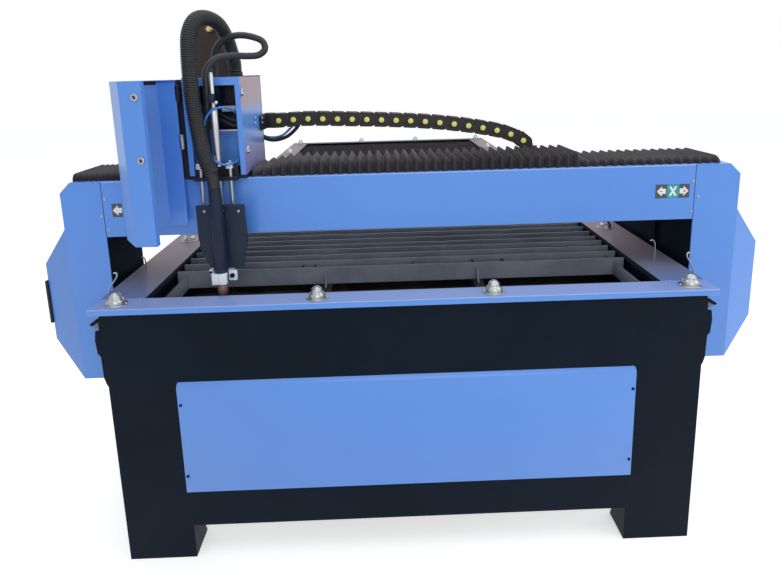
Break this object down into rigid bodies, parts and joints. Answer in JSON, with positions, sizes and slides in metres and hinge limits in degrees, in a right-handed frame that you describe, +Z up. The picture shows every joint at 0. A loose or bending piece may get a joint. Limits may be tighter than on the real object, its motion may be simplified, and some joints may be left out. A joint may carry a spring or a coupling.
{
  "type": "cnc plasma cutting table",
  "caption": "Table with a slatted cutting bed, a travelling gantry on side rails, and a torch head that slides across it and lifts the plasma torch, with an open head door.",
  "frame": {"origin": "bottom centre of the whole machine's box, on the floor", "axes": "+X to the operator's right, +Y from the front of the table to its rear, +Z up"},
  "size_m": [2.1222, 3.0445, 1.5272],
  "materials": {
    "blue_paint": "gloss",
    "black_paint": "satin",
    "slat_steel": "dull",
    "bright_steel": "ground",
    "zinc": "polished",
    "chain_plastic": "matt",
    "bellows_cloth": "coated cloth",
    "white_block": "bead blasted",
    "copper": "worn copper",
    "black_rubber": "matt",
    "torch_plastic": "matt"
  },
  "bodies": {
    "bed": {"front_left_leg": "black_paint", "front_right_leg": "black_paint", "rear_left_leg": "black_paint", "rear_right_leg": "black_paint", "front_panel": "black_paint", "rear_panel": "black_paint", "name_panel": "blue_paint", "left_side_beam": "black_paint", "right_side_beam": "black_paint", "front_rail": "blue_paint", "rear_rail": "blue_paint", "left_rail": "blue_paint", "right_rail": "blue_paint", "slat_bed": "slat_steel", "slat_support": "black_paint", "y_guide_left": "bright_steel", "y_guide_right": "bright_steel", "y_rack_left": "bright_steel", "y_rack_right": "bright_steel", "y_chain_tray": "black_paint"},
    "ball_1": {"transfer_ball_1": "zinc"},
    "ball_2": {"transfer_ball_2": "zinc"},
    "ball_3": {"transfer_ball_3": "zinc"},
    "ball_4": {"transfer_ball_4": "zinc"},
    "gantry": {"gantry_beam": "black_paint", "gantry_front_cover": "blue_paint", "left_end_cover": "blue_paint", "right_end_cover": "blue_paint", "left_upright": "black_paint", "right_upright": "black_paint", "x_guide_front": "bright_steel", "x_guide_rear": "bright_steel", "left_bellows": "bellows_cloth", "right_bellows": "bellows_cloth", "y_motor_left": "black_paint", "y_motor_right": "black_paint", "y_drag_chain": "chain_plastic", "side_vent": "chain_plastic"},
    "y_pinion_left": {"y_pinion_left": "bright_steel"},
    "y_pinion_right": {"y_pinion_right": "bright_steel"},
    "carriage": {"carriage_plate": "black_paint", "head_housing": "blue_paint", "x_motor": "black_paint", "z_motor": "black_paint", "guide_rod_left": "bright_steel", "guide_rod_right": "bright_steel", "rod_support": "white_block", "lift_cylinder": "bright_steel", "x_drag_chain": "chain_plastic", "torch_lead": "black_rubber", "torch_hose": "black_rubber"},
    "x_pinion": {"x_pinion": "bright_steel"},
    "lead_screw": {"lead_screw": "bright_steel"},
    "z_slide": {"slide_plate": "black_paint", "torch_body": "torch_plastic", "torch_clamp": "white_block", "torch_nozzle": "copper"},
    "door": {"torch_door": "blue_paint"},
    "latch_upper": {"door_latch_upper": "zinc"},
    "latch_lower": {"door_latch_lower": "zinc"}
  },
  "joints": [
    {"name": "gantry_travel", "type": "slide", "parent": "bed", "child": "gantry", "axis": [0, 1, 0], "range_m": [0, 2.4], "deforming": ["y_drag_chain"]},
    {"name": "y_pinion_left_spin", "type": "hinge", "parent": "gantry", "child": "y_pinion_left", "pos_m": [-0.84285, -1.22501, 0.6335], "axis": [1, 0, 0], "range_deg": [-1, 6877]},
    {"name": "y_pinion_right_spin", "type": "hinge", "parent": "gantry", "child": "y_pinion_right", "pos_m": [0.83715, -1.22501, 0.6335], "axis": [1, 0, 0], "range_deg": [-1, 6877]},
    {"name": "carriage_travel", "type": "slide", "parent": "gantry", "child": "carriage", "axis": [1, 0, 0], "range_m": [-0.06, 1.15], "deforming": ["right_bellows", "left_bellows", "x_drag_chain"]},
    {"name": "x_pinion_spin", "type": "hinge", "parent": "carriage", "child": "x_pinion", "pos_m": [-0.50985, -1.21501, 1.055], "axis": [0, 0, 1], "range_deg": [-3296, 173]},
    {"name": "z_travel", "type": "slide", "parent": "carriage", "child": "z_slide", "axis": [0, 0, 1], "range_m": [0, 0.085], "deforming": ["torch_hose"]},
    {"name": "lead_screw_spin", "type": "hinge", "parent": "carriage", "child": "lead_screw", "pos_m": [-0.50985, -1.32751, 1.1], "axis": [0, 0, 1], "range_deg": [-3061, 1]},
    {"name": "door_swing", "type": "hinge", "parent": "carriage", "child": "door", "pos_m": [-0.59685, -1.34451, 1.138], "axis": [0, 0, 1], "range_deg": [0, 94]},
    {"name": "upper_latch_turn", "type": "hinge", "parent": "door", "child": "latch_upper", "pos_m": [-0.62752, -1.51077, 1.307], "axis": [-0.0698, -0.9976, 0], "range_deg": [0, 90]},
    {"name": "lower_latch_turn", "type": "hinge", "parent": "door", "child": "latch_lower", "pos_m": [-0.62752, -1.51077, 1.157], "axis": [-0.0698, -0.9976, 0], "range_deg": [0, 90]},
    {"name": "ball_1_roll", "type": "hinge", "parent": "bed", "child": "ball_1", "pos_m": [-0.76585, -1.44751, 0.785], "axis": [1, 0, 0], "continuous": true},
    {"name": "ball_2_roll", "type": "hinge", "parent": "bed", "child": "ball_2", "pos_m": [-0.23785, -1.44751, 0.785], "axis": [1, 0, 0], "continuous": true},
    {"name": "ball_3_roll", "type": "hinge", "parent": "bed", "child": "ball_3", "pos_m": [0.23215, -1.44751, 0.785], "axis": [1, 0, 0], "continuous": true},
    {"name": "ball_4_roll", "type": "hinge", "parent": "bed", "child": "ball_4", "pos_m": [0.76015, -1.44751, 0.785], "axis": [1, 0, 0], "continuous": true}
  ],
  "couplings": [
    {"joint": "y_pinion_left_spin", "follows": "gantry_travel", "rad_per_m": 50},
    {"joint": "y_pinion_right_spin", "follows": "gantry_travel", "rad_per_m": 50},
    {"joint": "x_pinion_spin", "follows": "carriage_travel", "rad_per_m": -50},
    {"joint": "lead_screw_spin", "follows": "z_travel", "rad_per_m": -628.32}
  ]
}
